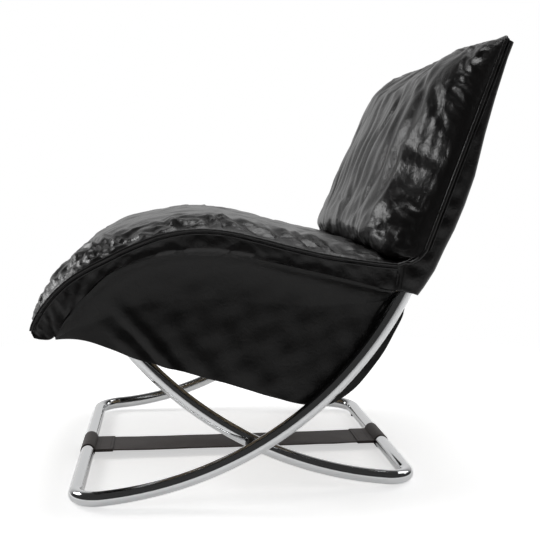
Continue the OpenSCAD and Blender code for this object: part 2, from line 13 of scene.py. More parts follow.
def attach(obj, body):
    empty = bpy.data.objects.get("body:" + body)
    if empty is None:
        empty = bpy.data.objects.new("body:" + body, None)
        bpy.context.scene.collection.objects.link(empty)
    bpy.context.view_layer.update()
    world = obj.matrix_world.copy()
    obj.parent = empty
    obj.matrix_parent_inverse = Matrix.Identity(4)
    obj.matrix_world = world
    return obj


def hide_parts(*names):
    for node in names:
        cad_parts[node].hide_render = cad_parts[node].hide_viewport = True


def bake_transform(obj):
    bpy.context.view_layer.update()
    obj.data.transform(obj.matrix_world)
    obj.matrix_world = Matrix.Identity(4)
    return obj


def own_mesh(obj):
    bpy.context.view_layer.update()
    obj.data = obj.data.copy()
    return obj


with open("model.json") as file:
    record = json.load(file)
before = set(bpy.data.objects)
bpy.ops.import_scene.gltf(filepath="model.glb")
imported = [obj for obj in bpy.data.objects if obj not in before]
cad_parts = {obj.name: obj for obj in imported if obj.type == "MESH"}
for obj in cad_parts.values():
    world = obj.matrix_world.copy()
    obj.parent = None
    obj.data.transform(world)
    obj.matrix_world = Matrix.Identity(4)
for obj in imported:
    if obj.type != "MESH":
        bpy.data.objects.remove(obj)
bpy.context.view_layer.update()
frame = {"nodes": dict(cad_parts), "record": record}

MM = 0.001

# The lines of the chair, from the CAD model's own sizes
FRONT_BAR_Y, BAR_Z, BARS_APART = -325.3, 15.0, 574.0
TUBE_R = 12.5
BACK_FOOT, BACK_LEAN, BACK_LEN = (245.410, 412.384), math.radians(69.5), 354.0
SEAT_BAR, DECK_TILT, SEAT_LEN = (-300.036, 342.214), math.radians(0.9975), 520.643
DECK_HALF, DECK_TOP = 287.9, 16.0
# Outer face of the covers, half across, and the thickness of their leather
SKIN_X, SKIN_T = 341.0, 2.3
WELT_R = 3.0
WELT_X = SKIN_X + WELT_R
# The back's welt is drawn in by this share of its place across
BACK_WELT_IN = 0.997
# The seam allowance sewn down beside each welt
FELL_R, FELL_GAP = 1.8, 6.5

# Side view of the seat, as shares of its length along and above the seat bar: its
# piping, the seam under its band, the underside of its nose and the panels' hem
SEAT_EDGE = np.array([
    [-0.161, -0.089], [-0.155, -0.066], [-0.139, -0.035], [-0.116, -0.001],
    [-0.081, 0.037], [-0.038, 0.072], [0.011, 0.100], [0.069, 0.128],
    [0.146, 0.163], [0.243, 0.196], [0.339, 0.208], [0.435, 0.200],
    [0.531, 0.176], [0.626, 0.149], [0.722, 0.124], [0.818, 0.105],
    [0.914, 0.090], [0.9745, 0.083]]) * SEAT_LEN
SEAT_SEAM = np.array([
    [-0.152, -0.106], [-0.131, -0.111], [-0.104, -0.111], [-0.085, -0.094],
    [-0.063, -0.054], [-0.033, -0.018], [0.010, 0.026], [0.068, 0.080],
    [0.146, 0.117], [0.242, 0.142], [0.338, 0.150], [0.434, 0.143],
    [0.530, 0.122], [0.625, 0.094], [0.721, 0.067], [0.817, 0.040],
    [0.922, 0.011], [0.9675, 0.004]]) * SEAT_LEN
NOSE_UNDER = np.array([
    [-0.144, -0.103], [-0.119, -0.099], [-0.092, -0.090], [-0.065, -0.069],
    [-0.049, -0.033], [-0.039, 0.002], [-0.024, 0.031]]) * SEAT_LEN
PANEL_HEM = np.array([
    [-0.093, -0.113], [-0.039, -0.120], [0.020, -0.138], [0.081, -0.164],
    [0.142, -0.190], [0.203, -0.212], [0.264, -0.231], [0.327, -0.251],
    [0.390, -0.271], [0.452, -0.292], [0.517, -0.314], [0.580, -0.336],
    [0.645, -0.356], [0.713, -0.367], [0.762, -0.362], [0.806, -0.340],
    [0.841, -0.314], [0.873, -0.280], [0.906, -0.240], [0.939, -0.194],
    [0.968, -0.141], [0.992, -0.092], [1.005, -0.050]]) * SEAT_LEN
SEAT_SPANS = len(SEAT_EDGE) - 1
# Length over the crown, which the seat's folds are placed along
CROWN_LEN = 640.0
# The cloth pass swells each pad, so both start that much lower, in mm
SEAT_SWELL, BACK_SWELL = 0.0, 0.0
SEAT_SWELL = np.interp(np.arange(SEAT_SPANS + 1), [0, 3, 5, 7, 9, 15, 17],
                       [0, 0, 3, 11, 12, 8, 2])
BACK_SWELL = 6.5
# Height of the seat's crown over its piping, along its middle
SEAT_CROWN = np.array([0.10, 0.34, 0.56, 0.76, 0.92, 1.08, 1.25, 1.36, 1.22, 1.02,
                       0.96, 0.98, 1.00, 1.00, 0.98, 0.88, 0.60, 0.34]) * 30.0 - SEAT_SWELL
# Side view of the back: its rear cover, up the back and in front of it
BACK_REAR = np.array([
    [-0.190, -0.050], [-0.142, -0.064], [-0.056, -0.083], [0.054, -0.091],
    [0.153, -0.102], [0.273, -0.106], [0.415, -0.102], [0.612, -0.076],
    [0.800, -0.058], [0.968, -0.0455], [1.043, -0.0455]]) * BACK_LEN
# Pillow: place up the back, with the cap over the top bar past 1, and crown
PILLOW = np.array([
    [-0.040, 0.62], [-0.032, 0.88], [-0.015, 0.97], [0.04, 1.00], [0.12, 1.01],
    [0.22, 1.00], [0.34, 1.00], [0.46, 0.99], [0.58, 0.96], [0.69, 0.92],
    [0.79, 0.85], [0.88, 0.74], [0.95, 0.60], [0.995, 0.46], [1.60, 0.32],
    [1.86, 0.24], [2.00, 0.16]])
BACK_CROWN = 86.0
TOUCH = 0.1
BACK_TOP = BACK_LEN + TUBE_R + 2 * TOUCH + SKIN_T
# Front edge of the back's side band, from its foot to its top
BACK_SEAM = np.array([[-0.200, 0.0431], [-0.127, 0.0598], [-0.070, 0.0736],
                      [-0.060, 0.047], [-0.026, 0.016], [0.016, 0.0]]) * BACK_LEN


# Curves and fields

def along(points, t):
    """Smooth curve through the points, for each t from 0 to 1."""
    p = np.asarray(points, float)
    p = p[:, None] if p.ndim == 1 else p
    n = len(p) - 1
    s = np.clip(np.asarray(t, float), 0, 1) * n
    i = np.minimum(s.astype(int), n - 1)
    f = (s - i)[..., None]
    a, b, c, d = p[np.maximum(i - 1, 0)], p[i], p[i + 1], p[np.minimum(i + 2, n)]
    out = b + 0.5 * f * ((c - a) + f * ((2 * a - 5 * b + 4 * c - d)
                                        + f * (3 * (b - c) + d - a)))
    return out[..., 0] if out.shape[-1] == 1 else out


def seat_point(x, a, b):
    """World point, in metres, from mm across, along and above the seat bar."""
    c, s = math.cos(DECK_TILT), math.sin(DECK_TILT)
    return np.stack([x, SEAT_BAR[0] + a * c - b * s, SEAT_BAR[1] + a * s + b * c], -1) * MM


def back_point(x, s, t):
    """World point, in metres, from mm across, up and in front of the back."""
    c, n = math.cos(BACK_LEAN), math.sin(BACK_LEAN)
    return np.stack([x, BACK_FOOT[0] + s * c - t * n, BACK_FOOT[1] + s * n + t * c], -1) * MM


def ramp(v, low, high):
    """Eased step from 0 at low to 1 at high."""
    k = np.clip((v - low) / (high - low), 0, 1)
    return k * k * (3 - 2 * k)


def wander(x, y, seed, size):
    """Smooth seeded field from -1 to 1, with features about size wide."""
    rng = np.random.default_rng(seed)
    out = np.zeros(np.broadcast(x, y).shape)
    for k in range(7):
        a, ph, w = rng.uniform(0, 2 * math.pi), rng.uniform(0, 6.28), rng.uniform(0.7, 1.6)
        out += np.sin((x * math.cos(a) + y * math.sin(a)) * 2 * math.pi * w / size + ph)
    return out / 3.2


def crease(x, y, path, width, depth):
    """Leather crease along a path: a drawn-in line with a soft roll on each side."""
    best = np.full(x.shape, 1e9)
    pos = np.zeros(x.shape)
    p = np.asarray(path, float)
    leg = np.hypot(*(p[1:] - p[:-1]).T)
    total, run = leg.sum(), 0.0
    for i, size in enumerate(leg):
        d = (p[i + 1] - p[i]) / size
        u = np.clip((x - p[i, 0]) * d[0] + (y - p[i, 1]) * d[1], 0, size)
        r = np.hypot(x - p[i, 0] - u * d[0], y - p[i, 1] - u * d[1])
        near = r < best
        best = np.where(near, r, best)
        pos = np.where(near, (run + u) / total, pos)
        run += size
    taper = np.sin(np.clip(pos, 0.02, 0.98) * math.pi) ** 0.6
    k = best / width
    return depth * taper * (-np.exp(-k ** 2) + 0.55 * np.exp(-((k - 2.1) / 1.1) ** 2))


# Meshes

def alone(obj):
    """Makes obj the one selected and active object."""
    bpy.ops.object.select_all(action="DESELECT")
    obj.select_set(True)
    bpy.context.view_layer.objects.active = obj


def apply_all(obj):
    alone(obj)
    for m in list(obj.modifiers):
        bpy.ops.object.modifier_apply(modifier=m.name)


def edit(obj, *steps):
    """Runs edit mode operators, each with its settings, on the whole mesh."""
    alone(obj)
    bpy.ops.object.mode_set(mode="EDIT")
    bpy.ops.mesh.select_all(action="SELECT")
    for step, settings in steps:
        getattr(bpy.ops.mesh, step)(**settings)
    bpy.ops.object.mode_set(mode="OBJECT")


def points_of(obj):
    co = np.empty(len(obj.data.vertices) * 3)
    obj.data.vertices.foreach_get("co", co)
    return co.reshape(-1, 3)


def move_points(obj, co):
    obj.data.vertices.foreach_set("co", co.ravel())
    obj.data.update()


def laid_grid(name, across, up, place):
    """Grid whose points are laid by place(u, v), with u and v from 0 to 1."""
    bpy.ops.object.select_all(action="DESELECT")
    bpy.ops.mesh.primitive_grid_add(x_subdivisions=across, y_subdivisions=up, size=1)
    obj = bpy.context.object
    obj.name = obj.data.name = name
    co = points_of(obj) + 0.5
    move_points(obj, place(co[:, 0], co[:, 1]))
    return obj


def ring_pad(name, around, rows, place):
    """Closed pad: rings of points round it, and a cap at each end."""
    obj = laid_grid(name, around, rows, place)
    edit(obj, ("remove_doubles", {"threshold": 1e-5}),
         ("select_all", {"action": "DESELECT"}), ("select_non_manifold", {}),
         ("edge_face_add", {}))
    edit(obj, ("normals_make_consistent", {"inside": False}))
    return obj


def thicken(obj, mm, offset=0):
    """Gives a sheet its thickness, inwards where offset is -1 and else both ways."""
    wall = obj.modifiers.new("thickness", "SOLIDIFY")
    wall.thickness, wall.offset = mm * MM, offset


def round_edges(obj, mm):
    """Takes the sharpness off a sheet's cut edges."""
    edge = obj.modifiers.new("cut_edge", "BEVEL")
    edge.width, edge.segments, edge.limit_method = mm * MM, 2, "ANGLE"


def tree_of(co):
    """Search tree over points."""
    tree = kdtree.KDTree(len(co))
    for i, p in enumerate(co):
        tree.insert(p, i)
    tree.balance()
    return tree


# Cloth pass: mesh size in mm, share of spare leather, and frames that it runs for
VOXEL, SPARE, FRAMES = 6.5, 0.02, 20


def swollen(obj, sewn, cap):
    """Cloth pass: air pressure and spare leather wrinkle an evenly meshed copy, and
    the pad takes its moves. sewn is 1 where a point is held, cap is in mm."""
    start = points_of(obj)
    alone(obj)
    bpy.ops.object.duplicate()
    air = bpy.context.object
    even = air.modifiers.new("even", "REMESH")
    even.mode, even.voxel_size = "VOXEL", VOXEL * MM
    apply_all(air)
    rest = points_of(air)
    near = tree_of(start)
    held = np.round([sewn[near.find(p)[1]] for p in rest], 1)
    pins = air.vertex_groups.new(name="sewn")
    for level in np.unique(held[held > 0]):
        pins.add(np.flatnonzero(held == level).tolist(), float(level), "REPLACE")
    cloth = air.modifiers.new("air", "CLOTH")
    hide = cloth.settings
    hide.quality, hide.mass = 5, 0.3
    hide.tension_stiffness = hide.compression_stiffness = 25
    hide.shear_stiffness, hide.bending_stiffness = 12, 0.8
    hide.vertex_group_mass = "sewn"
    hide.use_pressure, hide.uniform_pressure_force = True, 4
    hide.shrink_min = -SPARE
    hide.effector_weights.gravity = 0
    cloth.point_cache.frame_start, cloth.point_cache.frame_end = 1, FRAMES
    for number in range(1, FRAMES + 1):
        bpy.context.scene.frame_set(number)
    apply_all(air)
    bpy.context.scene.frame_set(1)
    moved = points_of(air) - rest
    length = np.linalg.norm(moved, axis=1)
    moved *= np.minimum(1, cap * MM / np.maximum(length, 1e-9))[:, None]
    near = tree_of(rest)
    shift = np.empty(start.shape)
    for i, p in enumerate(start):
        found = near.find_n(p, 5)
        w = np.array([1 / (f[2] + 0.001) for f in found])
        shift[i] = w @ moved[[f[1] for f in found]] / w.sum()
    bpy.data.objects.remove(air)
    move_points(obj, start + shift * (1 - np.asarray(sewn))[:, None])


def coat(obj, finish, angle):
    """One finish over the piece, smooth but for edges sharper than angle."""
    obj.data.materials.clear()
    obj.data.materials.append(finish)
    alone(obj)
    bpy.ops.object.shade_smooth_by_angle(angle=math.radians(angle))


def finish_piece(obj, body, finish, nodes=()):
    """Coats a piece, applies its modifiers and sets what it rides on and replaces."""
    coat(obj, finish, 50)
    apply_all(obj)
    if body:
        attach(obj, body)
    if nodes:
        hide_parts(*nodes)


def welt(name, path, radius=WELT_R * MM):
    """Round cord along a path of world points."""
    curve = bpy.data.curves.new(name, "CURVE")
    curve.dimensions = "3D"
    curve.bevel_depth, curve.bevel_resolution, curve.use_fill_caps = radius, 3, True
    line = curve.splines.new("POLY")
    line.points.add(len(path) - 1)
    line.points.foreach_set("co", np.column_stack([path, np.ones(len(path))]).ravel())
    obj = bpy.data.objects.new(name, curve)
    bpy.context.collection.objects.link(obj)
    alone(obj)
    bpy.ops.object.convert(target="MESH")
    return bpy.context.object


# Materials

def hex_linear(value):
    """Linear colour from an sRGB hex value."""
    rgb = [int(value[i:i + 2], 16) / 255 for i in (1, 3, 5)]
    return [c / 12.92 if c <= 0.04045 else ((c + 0.055) / 1.055) ** 2.4 for c in rgb] + [1]


def add_node(tree, kind, settings=(), **links):
    """Adds a node, sets its values and links its inputs; spaces in names are _."""
    node = tree.nodes.new(kind)
    for key, value in dict(settings).items():
        if isinstance(key, str) and hasattr(node, key):
            setattr(node, key, value)
        else:
            node.inputs[key].default_value = value
    for key, source in links.items():
        tree.links.new(source, node.inputs[int(key[1:]) if key[0] == "_" else
                                           key.replace("_", " ")])
    return node


def new_finish(name, colour, rough, metallic=0.0, **sockets):
    """Material with constants on its shader; returns it, its tree, shader and place."""
    mat = bpy.data.materials.new(name)
    mat.use_nodes = True
    tree = mat.node_tree
    bsdf = tree.nodes["Principled BSDF"]
    bsdf.inputs["Base Color"].default_value = hex_linear(colour)
    bsdf.inputs["Roughness"].default_value = rough
    bsdf.inputs["Metallic"].default_value = metallic
    for key, value in sockets.items():
        bsdf.inputs[key.replace("_", " ")].default_value = value
    coords = tree.nodes.new("ShaderNodeTexCoord")
    return mat, tree, bsdf, coords.outputs["Object"]


def vary(tree, bsdf, where, scale, low, high, socket):
    """Drives a socket between two values by noise with features of 1 / scale metres."""
    noise = add_node(tree, "ShaderNodeTexNoise", {"Scale": scale, "Detail": 4.0},
                     Vector=where)
    if isinstance(low, str):
        mix = add_node(tree, "ShaderNodeMix", {"data_type": "RGBA"},
                       _0=noise.outputs["Fac"])
        mix.inputs[6].default_value = hex_linear(low)
        mix.inputs[7].default_value = hex_linear(high)
        tree.links.new(mix.outputs[2], bsdf.inputs[socket])
    else:
        rng = add_node(tree, "ShaderNodeMapRange", {"To Min": low, "To Max": high},
                       _0=noise.outputs["Fac"])
        tree.links.new(rng.outputs[0], bsdf.inputs[socket])


def leather(name, low, high, rough, wrinkle, shine=0.5):
    """Aniline-dyed cowhide, drum milled: pebbled grain, loose fine wrinkles and a
    waxed half gloss that breaks up where hands and legs rub it."""
    mat, tree, bsdf, where = new_finish(name, low, rough[0], Specular_IOR_Level=shine)
    vary(tree, bsdf, where, 14, low, high, "Base Color")
    vary(tree, bsdf, where, 22, rough[0], rough[1], "Roughness")
    # The real grain is 0.6 mm; it is drawn at about 1.6 mm so that it shows
    grain = add_node(tree, "ShaderNodeTexVoronoi", {"Scale": 620.0}, Vector=where)
    fine = add_node(tree, "ShaderNodeTexNoise", {"Scale": 75.0, "Detail": 6.0,
                                                 "Distortion": 1.2}, Vector=where)
    bump = add_node(tree, "ShaderNodeBump", {"Strength": wrinkle, "Distance": 0.0022},
                    Height=fine.outputs["Fac"])
    bump2 = add_node(tree, "ShaderNodeBump", {"Strength": 0.16, "Distance": 0.0006},
                     Height=grain.outputs["Distance"], Normal=bump.outputs["Normal"])
    tree.links.new(bump2.outputs["Normal"], bsdf.inputs["Normal"])
    return mat


def chrome():
    """Bright nickel-chrome plate on drawn tube: a mirror with faint wiping haze."""
    mat, tree, bsdf, where = new_finish("chrome_plate", "#d9dadb", 0.07, 1.0)
    vary(tree, bsdf, where, 30, 0.05, 0.12, "Roughness")
    haze = add_node(tree, "ShaderNodeTexNoise", {"Scale": 25.0, "Detail": 0.0}, Vector=where)
    bump = add_node(tree, "ShaderNodeBump", {"Strength": 0.05, "Distance": 0.0005},
                    Height=haze.outputs["Fac"])
    tree.links.new(bump.outputs["Normal"], bsdf.inputs["Normal"])
    return mat


def turned_steel():
    """Zinc-plated turned steel: soft grey, its tone and roughness varying a little."""
    mat, tree, bsdf, where = new_finish("zinc_plated_steel", "#8c8e90", 0.35, 1.0)
    vary(tree, bsdf, where, 60, 0.28, 0.45, "Roughness")
    vary(tree, bsdf, where, 45, "#7f8183", "#9a9c9e", "Base Color")
    return mat


def moulded(name, low, high, rough):
    """Moulded nylon or waxed thread: half matt, with a light spark-eroded texture."""
    mat, tree, bsdf, where = new_finish(name, low, rough)
    vary(tree, bsdf, where, 90, low, high, "Base Color")
    spark = add_node(tree, "ShaderNodeTexNoise", {"Scale": 1400.0, "Detail": 2.0},
                     Vector=where)
    bump = add_node(tree, "ShaderNodeBump", {"Strength": 0.1, "Distance": 0.0003},
                    Height=spark.outputs["Fac"])
    tree.links.new(bump.outputs["Normal"], bsdf.inputs["Normal"])
    return mat


def canvas():
    """Unbleached cotton canvas: plain weave, threads 0.8 mm apart."""
    mat, tree, bsdf, where = new_finish("cotton_canvas", "#8a7a63", 0.9)
    vary(tree, bsdf, where, 40, "#7b6c56", "#978770", "Base Color")
    waves = []
    for turn in (0.0, math.pi / 2):
        turned = add_node(tree, "ShaderNodeMapping", {"Rotation": (0, 0, turn)}, Vector=where)
        wave = add_node(tree, "ShaderNodeTexWave", {"Scale": 400.0, "Distortion": 0.6},
                        Vector=turned.outputs[0])
        waves.append(wave.outputs["Fac"])
    both = add_node(tree, "ShaderNodeMath", {"operation": "MAXIMUM"},
                    _0=waves[0], _1=waves[1])
    bump = add_node(tree, "ShaderNodeBump", {"Strength": 0.3, "Distance": 0.0006},
                    Height=both.outputs[0])
    tree.links.new(bump.outputs["Normal"], bsdf.inputs["Normal"])
    return mat


CHROME = chrome()
STEEL = turned_steel()
HIDE = leather("black_milled_leather", "#080707", "#0e0c0c", (0.24, 0.36), 0.35, 0.42)
# The side panels use the seat's black leather with its colour painted darker: painted shade
# for panels that face away from the lamps
SHADED_PANEL_HIDE = leather("black_panel_leather_painted_shade", "#060505", "#0b0a09", (0.30, 0.42), 0.25, 0.28)
STRAP_HIDE = leather("brown_black_strap_leather", "#3f3735", "#4b4341", (0.5, 0.62), 0.2)
CANVAS = canvas()
THREAD = moulded("waxed_thread", "#2a2523", "#332d2a", 0.6)
BLACK_NYLON = moulded("black_nylon", "#141414", "#1c1c1c", 0.5)
WHITE_NYLON = moulded("natural_nylon", "#cfccc2", "#dbd8cf", 0.45)

finishes = {"chromed_tube": CHROME, "inner_steel": STEEL, "black_leather": HIDE,
            "strap_leather": STRAP_HIDE, "canvas": CANVAS,
            "black_plastic": BLACK_NYLON, "white_plastic": WHITE_NYLON}
slots = {s["node"]: s["material_slot"] for s in frame["record"]["subparts"]}
for node_name, slot_name in slots.items():
    coat(frame["nodes"][node_name], finishes[slot_name], 32)


# Seat

# Two pinches in the piping: stations of the edge, width in stations, depth in mm
PINCH_AT, PINCH_WIDE, PINCH_DEPTH = (7.33, 9.54), 0.5, 7.0


def seat_crown_point(across, t):
    """Point of the seat's crown: across from -1 to 1, t from 0 to 1 along it."""
    e = along(SEAT_EDGE, t)
    g = along(SEAT_EDGE, t + 0.02) - along(SEAT_EDGE, t - 0.02)
    n = np.stack([-g[..., 1], g[..., 0]], -1) / np.linalg.norm(g, axis=-1)[..., None]
    u = np.abs(across)
    pinch = sum(np.exp(-((t * SEAT_SPANS - p) / PINCH_WIDE) ** 2)
                for p in PINCH_AT) * PINCH_DEPTH
    h = along(SEAT_CROWN, t) * np.maximum(1 - u ** 3, 0) ** 0.6
    h = h + seat_folds(across, t) * ramp(1 - u, 0.0, 0.03)
    x = (SKIN_X - pinch * u ** 2) * across
    return x, e[..., 0] + n[..., 0] * h, e[..., 1] + n[..., 1] * h


# Creases on the seat, as (mm across, mm along) from their edge end inwards
SEAT_CREASES = (((337, 422), (300, 405), (262, 396)), ((338, 450), (290, 432), (222, 410)),
                ((335, 488), (290, 474), (232, 461)), ((330, 527), (262, 512), (188, 505)),
                ((320, 560), (288, 545), (248, 530)), ((337, 358), (305, 372), (268, 380)),
                ((338, 356), (285, 345), (218, 338)), ((338, 275), (290, 277), (232, 274)),
                ((338, 281), (318, 297), (290, 309)), ((338, 269), (262, 250), (178, 236)),
                ((325, 178), (262, 192), (198, 212)), ((336, 128), (285, 148), (226, 174)),
                ((337, 395), (296, 384), (255, 382)), ((337, 232), (300, 228), (258, 218)))


def seat_folds(across, t):
    """Height of the loose folds over the seat, in mm."""
    x, a = across * SKIN_X, t * CROWN_LEN
    xw = x + 6 * wander(x, a, 3, 120)
    aw = a + 7 * wander(x, a, 4, 90)
    out = 1.8 * wander(x, a, 5, 150) + 0.8 * wander(xw, aw, 6, 46)
    rng = np.random.default_rng(11)
    for side in (1, -1):
        for path in SEAT_CREASES:
            out = out + crease(xw, aw, [(side * px, pa) for px, pa in path],
                               rng.uniform(5, 8), rng.uniform(3.0, 4.6))
        for k in range(40):
            a0 = rng.uniform(20, CROWN_LEN)
            slant = rng.uniform(-0.35, 0.35) + (-0.3 if a0 > 250 else 0.3)
            reach = rng.uniform(30, 110)
            out = out + crease(xw, aw, (
                (side * rng.uniform(325, 342), a0),
                (side * (335 - reach * 0.5), a0 + reach * 0.5 * slant + rng.uniform(-6, 6)),
                (side * (335 - reach), a0 + reach * slant)),
                rng.uniform(3.2, 5.5), rng.uniform(1.0, 2.4))
        for p in PINCH_AT:
            for k in range(7):
                turn = math.radians(-78 + 26 * k + rng.uniform(-8, 8))
                reach = rng.uniform(24, 52)
                a0 = p / SEAT_SPANS * CROWN_LEN
                out = out + crease(xw, aw, ((side * 339, a0), (
                    side * (339 - reach * math.cos(turn)), a0 + reach * math.sin(turn))),
                    rng.uniform(3.5, 5), rng.uniform(2.5, 4.5))
    return out


# Where the rings leave the deck, turn up the band and reach the crown, as shares of
# half a ring
OFF_DECK, UP_BAND, ON_CROWN = 0.08, 0.16, 0.26


def seat_place(u, v):
    """Rings across the seat: under the deck edge, up the band, over the crown."""
    side = np.where(u < 0.5, 1.0, -1.0)
    w = 1 - np.abs(2 * u - 1)
    e, m = along(SEAT_EDGE, v), along(SEAT_SEAM, v)
    k = v * SEAT_SPANS / (len(NOSE_UNDER) - 1)
    q = np.where((k < 1)[..., None], along(NOSE_UNDER, k), 0)
    flat = np.stack([np.maximum(e[..., 0], NOSE_UNDER[-1, 0]),
                     np.full(v.shape, DECK_TOP)], -1)
    q = np.where((k < 1)[..., None], q, flat)
    x, a, b = np.zeros(u.shape), np.zeros(u.shape), np.zeros(u.shape)

    def lay(mask, px, pa, pb):
        x[mask], a[mask], b[mask] = px[mask], pa[mask], pb[mask]

    f = w / OFF_DECK
    lay(w <= OFF_DECK, f * DECK_HALF, q[..., 0], q[..., 1])
    f = (w - OFF_DECK) / OFF_DECK
    lay(w > OFF_DECK, DECK_HALF + f * (SKIN_X - DECK_HALF),
        q[..., 0] + f * (m[..., 0] - q[..., 0]), q[..., 1] + f * (m[..., 1] - q[..., 1]))
    f = np.clip((w - UP_BAND) / 0.1, 0, 1)
    sag = (1.4 * wander(v * CROWN_LEN, f * 30, 21, 60)
           + 0.9 * wander(v * CROWN_LEN, f * 22, 22, 21)) * np.sin(f * math.pi) ** 0.7
    wall = SKIN_X + 0.5 + sag - 0.8 * np.sin(f * math.pi)
    lay(w > UP_BAND, wall, m[..., 0] + f * (e[..., 0] - m[..., 0]),
        m[..., 1] + f * (e[..., 1] - m[..., 1]))
    f = np.clip((w - ON_CROWN) / 0.74, 0, 1)
    cx, ca, cb = seat_crown_point(np.cos(f * math.pi / 2) * side, v)
    lay(w > ON_CROWN, np.abs(cx), ca, cb)
    return seat_point(x * side, a, b)


def seat_sewn(co):
    """1 where the seat is sewn or lies on the deck, 0 where its crown is free."""
    none = np.zeros(200)
    edge = seat_point(none, *along(SEAT_EDGE, np.linspace(0, 1, 200)).T)[:, 1:].T / MM
    edge = tree_of(np.column_stack([none, *edge]))
    drop = np.array([edge.find((0, p[1], p[2]))[0][2] - p[2] for p in co])
    inward = ramp(SKIN_X + 0.4 - np.abs(co[:, 0]), 0, 22)
    return 1 - inward * ramp(-drop, -2, 6)


seat_pad = ring_pad("seat_pad", 250, 150, seat_place)
swollen(seat_pad, seat_sewn(points_of(seat_pad) / MM), 9.0)
finish_piece(seat_pad, "seat", HIDE, ("seat_cushion", "seat_band_left", "seat_band_right"))

for side, tag in ((1, "right"), (-1, "left")):
    t = np.linspace(0.02, 0.985, 130)
    e = along(SEAT_EDGE, t)
    x = np.full(t.shape, side * (WELT_X - 1.0))
    cord = welt("seat_welt_line_" + tag, seat_point(x, e[:, 0], e[:, 1]))
    finish_piece(cord, "seat", HIDE, ("seat_welt_" + tag,))
    g = np.gradient(e, axis=0)
    g = g / np.linalg.norm(g, axis=1)[:, None] * FELL_GAP
    cord = welt("seat_fell_" + tag, seat_point(x - side * 2.0, e[:, 0] + g[:, 1],
                                               e[:, 1] - g[:, 0]), FELL_R * MM)
    finish_piece(cord, "seat", HIDE)


# Side panels

# Folds of the panel: place along it, where they start down it, strength and width
FOLDS = ((0.20, 0.25, 0.8, 0.030), (0.27, 0.10, 1.2, 0.022), (0.36, 0.35, 0.6, 0.030),
         (0.48, 0.45, 0.5, 0.035), (0.62, 0.50, 0.4, 0.040))
# Arc of the front loop's arms, in the side view, which the panels lie against
FRONT_C, FRONT_R = (FRONT_BAR_Y + 0.277, 625.660), 609.0
PANEL_LOW_X = 312.3
PANEL_FROM = 2.6 / SEAT_SPANS


def panel_place(u, v):
    """Sheet from the seam under the band down to the hem."""
    top = along(SEAT_SEAM, PANEL_FROM + (1 - PANEL_FROM) * u)
    p = top + (along(PANEL_HEM, u) - top) * v[..., None]
    tuck = ramp(0.045 - v, 0, 0.045)
    p = p + np.stack([0 * u, 7.0 * tuck * ramp(u, 0.0, 0.05)], -1)
    d = np.linalg.norm(p - top, axis=-1)
    w = seat_point(np.zeros(u.shape), p[..., 0], p[..., 1]) / MM
    off = np.abs(np.hypot(w[..., 1] - FRONT_C[0], w[..., 2] - FRONT_C[1]) - FRONT_R) - TUBE_R
    near = np.clip((off - 1) / 6, 0, 1)
    fold = np.max([h * np.exp(-((u - c) / s) ** 2) * np.clip((v - v0) * 2.5, 0, 1)
                   for c, v0, h, s in FOLDS], axis=0) * 5.0
    x = (PANEL_LOW_X + (SKIN_X - PANEL_LOW_X) * np.exp(-d / 25) * near
         - (6.0 - fold) * np.clip(v * 3, 0, 1))
    x = x + 0.8 * wander(p[..., 0], p[..., 1], 31, 60) * ramp(v, 0, 0.2) - 4.0 * tuck
    return seat_point(x, p[..., 0], p[..., 1])


for side, tag in ((1, "right"), (-1, "left")):
    panel = laid_grid("side_panel_hide_" + tag, 190, 84, panel_place)
    if side < 0:
        co = points_of(panel)
        co[:, 0] *= -1
        move_points(panel, co)
        edit(panel, ("flip_normals", {}))
    thicken(panel, SKIN_T, -1)
    finish_piece(panel, "seat", SHADED_PANEL_HIDE, ("side_panel_" + tag,))


# Back

# Long creases down the back, as (mm across, mm up), with width and depth
BACK_CREASES = (
    (((0, -6), (23, 45), (73, 117), (79, 183), (100, 228), (83, 281), (50, 340)), 10, 8),
    (((170, -6), (226, 34), (232, 91), (230, 151), (236, 215), (218, 265), (165, 330)),
     10, 8),
    (((85, -6), (160, 69), (180, 127), (182, 181), (176, 231), (150, 290)), 9, 7),
    (((262, -4), (286, 43), (307, 82), (326, 109)), 7, 5),
    (((205, -6), (262, 28), (285, 69), (289, 119), (298, 160)), 8, 6),
    (((-110, 44), (-32, 56), (38, 62), (70, 60)), 7, 4),
    (((-60, 0), (-38, 70), (-42, 155), (-33, 215), (-50, 267), (-125, 335)), 10, 7),
    (((-130, 0), (-168, 90), (-172, 179), (-200, 245), (-225, 305)), 10, 7),
    (((-215, 0), (-250, 80), (-262, 160), (-280, 230)), 9, 6),
    (((250, -5), (290, 6), (316, 18), (336, 32)), 6, 5),
    (((120, 10), (122, 100), (136, 190), (120, 290)), 7, 4),
    (((30, 30), (10, 120), (26, 200), (10, 300)), 8, 4))


def back_folds(x, s):
    """Height of the loose folds over the back pillow, in mm."""
    xw = x + 8 * wander(x, s, 41, 160)
    sw = s + 8 * wander(x, s, 42, 90)
    out = 2.0 * wander(x, s, 43, 170) + 0.8 * wander(xw, sw * 0.4, 44, 40)
    rng = np.random.default_rng(17)
    for path, w, d in BACK_CREASES:
        out = out + crease(xw, sw, path, w * 1.3, d * 0.45)
    for side in (1, -1):
        for k in range(26):
            s0 = 8 + 13 * k + rng.uniform(-4, 4)
            reach = rng.uniform(22, 58)
            out = out + crease(xw, sw, ((side * 338, s0), (
                side * (338 - reach), s0 + rng.uniform(-14, 14))),
                rng.uniform(4.0, 6.0), rng.uniform(0.8, 1.9))
    return out


# How far the foot of the pillow's front sinks onto the seat
FOOT_SINK = 23.0
# Half width between the arms, and where the rings step out past them, in shares
BETWEEN_ARMS = 313.0
STEP_FROM, STEP_TO = 0.16, 0.2


